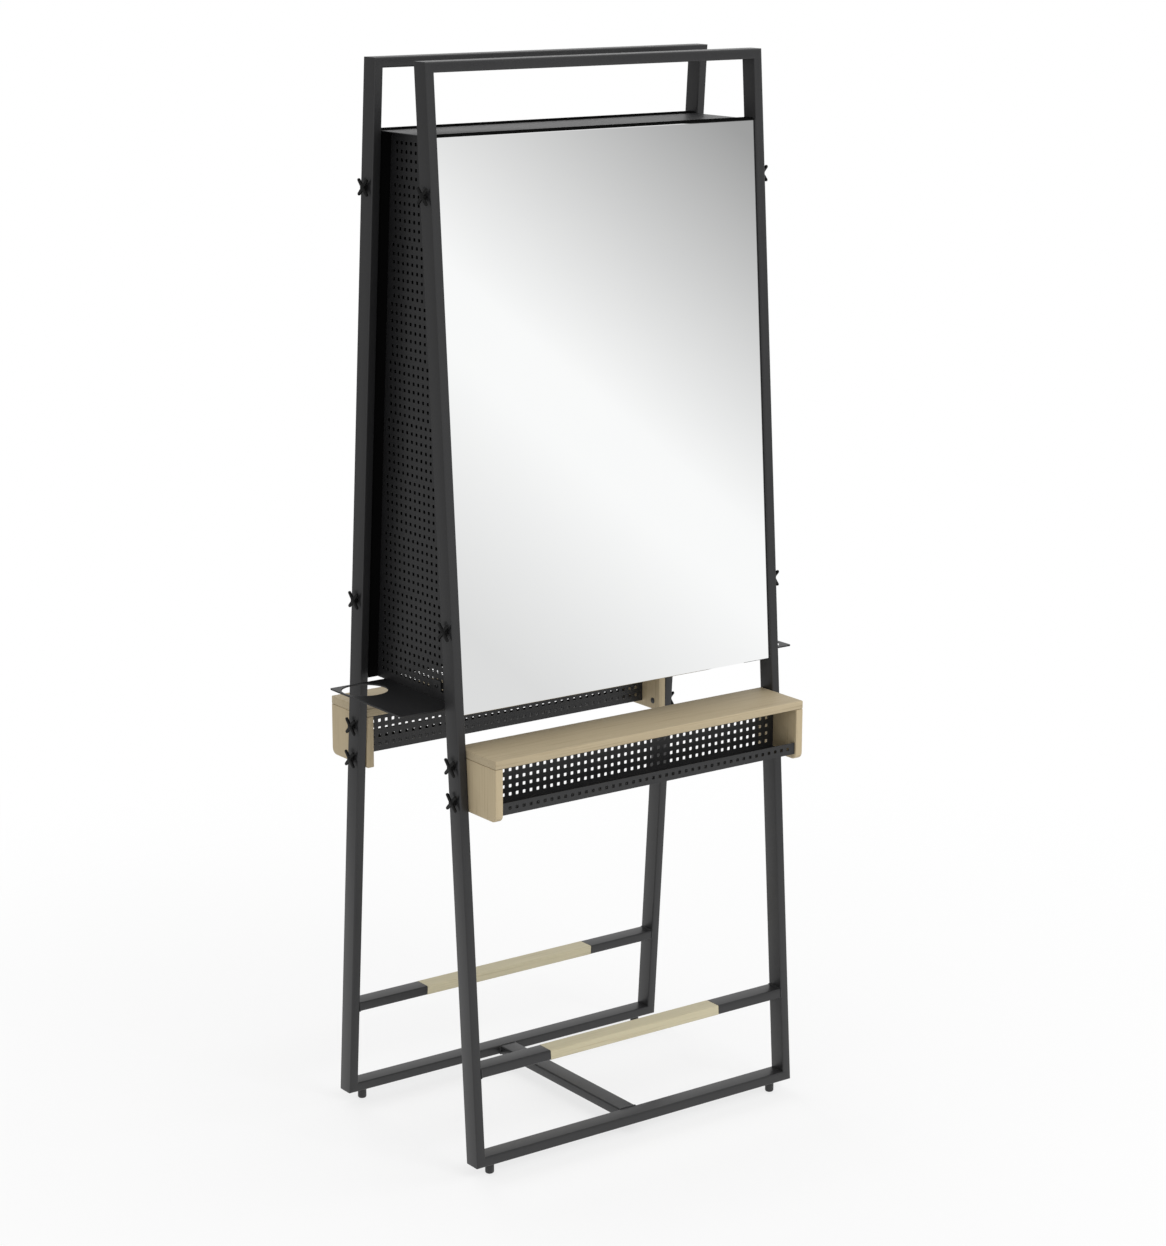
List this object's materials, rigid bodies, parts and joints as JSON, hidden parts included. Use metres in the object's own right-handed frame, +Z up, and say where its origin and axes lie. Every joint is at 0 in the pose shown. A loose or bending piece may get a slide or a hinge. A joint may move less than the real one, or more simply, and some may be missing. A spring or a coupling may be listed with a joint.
{
  "type": "double sided salon station",
  "caption": "Free-standing salon station with leaning tube frames, a mirror, perforated shelf, dryer holder and wooden footrest on each side, clamped by cross-shaped hand knobs.",
  "frame": {"origin": "on the floor, at the centre between the two frames", "axes": "+Z up, +X along the mirrors, -Y towards the front user, +Y towards the back user"},
  "size_m": [0.9686, 0.5932, 2.163],
  "materials": {
    "tube_paint": "satin",
    "sheet_paint": "satin",
    "oak": "matte",
    "mirror_glass": "polished",
    "backing_board": "matte",
    "knob_plastic": "matte",
    "foot_plastic": "matte"
  },
  "bodies": {
    "frame": {"front_leg_left": "tube_paint", "front_leg_right": "tube_paint", "front_bottom_rail": "tube_paint", "front_top_rail": "tube_paint", "front_footrest_stub_left": "tube_paint", "front_footrest_stub_right": "tube_paint", "front_footrest_bar": "oak", "front_shelf_top": "oak", "front_shelf_cheek_left": "oak", "front_shelf_cheek_right": "oak", "front_mirror": "mirror_glass", "front_mirror_backing": "backing_board", "front_shelf_tray": "sheet_paint", "front_dryer_holder": "sheet_paint", "back_leg_left": "tube_paint", "back_leg_right": "tube_paint", "back_bottom_rail": "tube_paint", "back_top_rail": "tube_paint", "back_footrest_stub_left": "tube_paint", "back_footrest_stub_right": "tube_paint", "back_footrest_bar": "oak", "back_shelf_top": "oak", "back_shelf_cheek_left": "oak", "back_shelf_cheek_right": "oak", "back_mirror": "mirror_glass", "back_mirror_backing": "backing_board", "back_shelf_tray": "sheet_paint", "back_dryer_holder": "sheet_paint", "base_stretcher": "tube_paint", "side_panel_left": "sheet_paint", "side_panel_right": "sheet_paint", "box_cap": "sheet_paint", "box_bottom_plate": "sheet_paint"},
    "front_knob_shelf_lower_left": {"front_knob_shelf_lower_left": "knob_plastic"},
    "front_knob_shelf_lower_right": {"front_knob_shelf_lower_right": "knob_plastic"},
    "front_knob_shelf_upper_left": {"front_knob_shelf_upper_left": "knob_plastic"},
    "front_knob_shelf_upper_right": {"front_knob_shelf_upper_right": "knob_plastic"},
    "front_knob_mirror_lower_left": {"front_knob_mirror_lower_left": "knob_plastic"},
    "front_knob_mirror_lower_right": {"front_knob_mirror_lower_right": "knob_plastic"},
    "front_knob_mirror_upper_left": {"front_knob_mirror_upper_left": "knob_plastic"},
    "front_knob_mirror_upper_right": {"front_knob_mirror_upper_right": "knob_plastic"},
    "front_foot_left": {"front_foot_left": "foot_plastic"},
    "front_foot_right": {"front_foot_right": "foot_plastic"},
    "back_knob_shelf_lower_left": {"back_knob_shelf_lower_left": "knob_plastic"},
    "back_knob_shelf_lower_right": {"back_knob_shelf_lower_right": "knob_plastic"},
    "back_knob_shelf_upper_left": {"back_knob_shelf_upper_left": "knob_plastic"},
    "back_knob_shelf_upper_right": {"back_knob_shelf_upper_right": "knob_plastic"},
    "back_knob_mirror_lower_left": {"back_knob_mirror_lower_left": "knob_plastic"},
    "back_knob_mirror_lower_right": {"back_knob_mirror_lower_right": "knob_plastic"},
    "back_knob_mirror_upper_left": {"back_knob_mirror_upper_left": "knob_plastic"},
    "back_knob_mirror_upper_right": {"back_knob_mirror_upper_right": "knob_plastic"},
    "back_foot_left": {"back_foot_left": "foot_plastic"},
    "back_foot_right": {"back_foot_right": "foot_plastic"}
  },
  "joints": [
    {"name": "front_knob_shelf_lower_left_turn", "type": "hinge", "parent": "frame", "child": "front_knob_shelf_lower_left", "pos_m": [-0.4, -0.18497, 0.761], "axis": [-1, 0, 0], "continuous": true},
    {"name": "front_knob_shelf_lower_right_turn", "type": "hinge", "parent": "frame", "child": "front_knob_shelf_lower_right", "pos_m": [0.4, -0.18497, 0.761], "axis": [1, 0, 0], "continuous": true},
    {"name": "front_knob_shelf_upper_left_turn", "type": "hinge", "parent": "frame", "child": "front_knob_shelf_upper_left", "pos_m": [-0.4, -0.1801, 0.83], "axis": [-1, 0, 0], "continuous": true},
    {"name": "front_knob_shelf_upper_right_turn", "type": "hinge", "parent": "frame", "child": "front_knob_shelf_upper_right", "pos_m": [0.4, -0.1801, 0.83], "axis": [1, 0, 0], "continuous": true},
    {"name": "front_knob_mirror_lower_left_turn", "type": "hinge", "parent": "frame", "child": "front_knob_mirror_lower_left", "pos_m": [-0.4, -0.16139, 1.095], "axis": [-1, 0, 0], "continuous": true},
    {"name": "front_knob_mirror_lower_right_turn", "type": "hinge", "parent": "frame", "child": "front_knob_mirror_lower_right", "pos_m": [0.4, -0.16139, 1.095], "axis": [1, 0, 0], "continuous": true},
    {"name": "front_knob_mirror_upper_left_turn", "type": "hinge", "parent": "frame", "child": "front_knob_mirror_upper_left", "pos_m": [-0.4, -0.10337, 1.917], "axis": [-1, 0, 0], "continuous": true},
    {"name": "front_knob_mirror_upper_right_turn", "type": "hinge", "parent": "frame", "child": "front_knob_mirror_upper_right", "pos_m": [0.4, -0.10337, 1.917], "axis": [1, 0, 0], "continuous": true},
    {"name": "front_foot_left_level", "type": "slide", "parent": "frame", "child": "front_foot_left", "axis": [0, 0, -1], "range_m": [0, 0.012]},
    {"name": "front_foot_right_level", "type": "slide", "parent": "frame", "child": "front_foot_right", "axis": [0, 0, -1], "range_m": [0, 0.012]},
    {"name": "back_knob_shelf_lower_left_turn", "type": "hinge", "parent": "frame", "child": "back_knob_shelf_lower_left", "pos_m": [0.4, 0.18497, 0.761], "axis": [1, 0, 0], "continuous": true},
    {"name": "back_knob_shelf_lower_right_turn", "type": "hinge", "parent": "frame", "child": "back_knob_shelf_lower_right", "pos_m": [-0.4, 0.18497, 0.761], "axis": [-1, 0, 0], "continuous": true},
    {"name": "back_knob_shelf_upper_left_turn", "type": "hinge", "parent": "frame", "child": "back_knob_shelf_upper_left", "pos_m": [0.4, 0.1801, 0.83], "axis": [1, 0, 0], "continuous": true},
    {"name": "back_knob_shelf_upper_right_turn", "type": "hinge", "parent": "frame", "child": "back_knob_shelf_upper_right", "pos_m": [-0.4, 0.1801, 0.83], "axis": [-1, 0, 0], "continuous": true},
    {"name": "back_knob_mirror_lower_left_turn", "type": "hinge", "parent": "frame", "child": "back_knob_mirror_lower_left", "pos_m": [0.4, 0.16139, 1.095], "axis": [1, 0, 0], "continuous": true},
    {"name": "back_knob_mirror_lower_right_turn", "type": "hinge", "parent": "frame", "child": "back_knob_mirror_lower_right", "pos_m": [-0.4, 0.16139, 1.095], "axis": [-1, 0, 0], "continuous": true},
    {"name": "back_knob_mirror_upper_left_turn", "type": "hinge", "parent": "frame", "child": "back_knob_mirror_upper_left", "pos_m": [0.4, 0.10337, 1.917], "axis": [1, 0, 0], "continuous": true},
    {"name": "back_knob_mirror_upper_right_turn", "type": "hinge", "parent": "frame", "child": "back_knob_mirror_upper_right", "pos_m": [-0.4, 0.10337, 1.917], "axis": [-1, 0, 0], "continuous": true},
    {"name": "back_foot_left_level", "type": "slide", "parent": "frame", "child": "back_foot_left", "axis": [0, 0, -1], "range_m": [0, 0.012]},
    {"name": "back_foot_right_level", "type": "slide", "parent": "frame", "child": "back_foot_right", "axis": [0, 0, -1], "range_m": [0, 0.012]}
  ]
}
